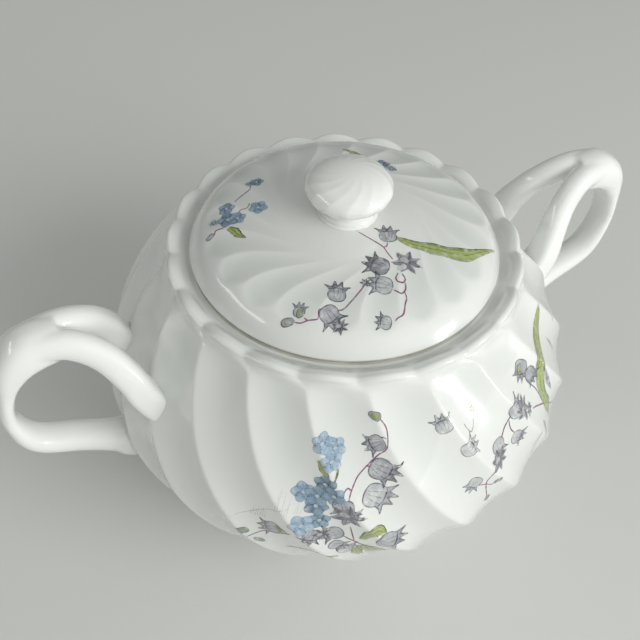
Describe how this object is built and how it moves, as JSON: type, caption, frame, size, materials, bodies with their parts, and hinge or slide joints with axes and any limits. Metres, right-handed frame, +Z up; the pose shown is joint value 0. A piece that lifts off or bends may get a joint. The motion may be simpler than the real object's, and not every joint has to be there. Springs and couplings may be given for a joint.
{
  "type": "covered sugar bowl",
  "caption": "Fluted round porcelain sugar bowl with a scalloped rim, two wishbone handles and a loose domed lid with a button knob.",
  "frame": {"origin": "centre of the foot ring's underside, on the table", "axes": "+X through the right handle, +Z up along the bowl's axis, +Y completes a right-handed frame"},
  "size_m": [0.1778, 0.123, 0.1064],
  "materials": {
    "porcelain": "glossy transparent glaze over white hard-paste porcelain",
    "bisque": "unglazed, ground foot ring",
    "decal_blue": "fired blue transfer print, for petals",
    "decal_grey": "fired grey and mauve transfer print, for bellflowers",
    "decal_green": "fired green transfer print, for leaves",
    "decal_stem": "fired purple-brown transfer print, for stems"
  },
  "bodies": {
    "bowl": {"bowl_body": "porcelain", "handle_left": "porcelain", "handle_right": "porcelain"},
    "lid": {"lid": "porcelain", "lid_knob": "porcelain"}
  },
  "joints": [
    {"name": "lid_lift", "type": "slide", "parent": "bowl", "child": "lid", "axis": [0, 0, 1], "range_m": [0, 0.06]}
  ]
}
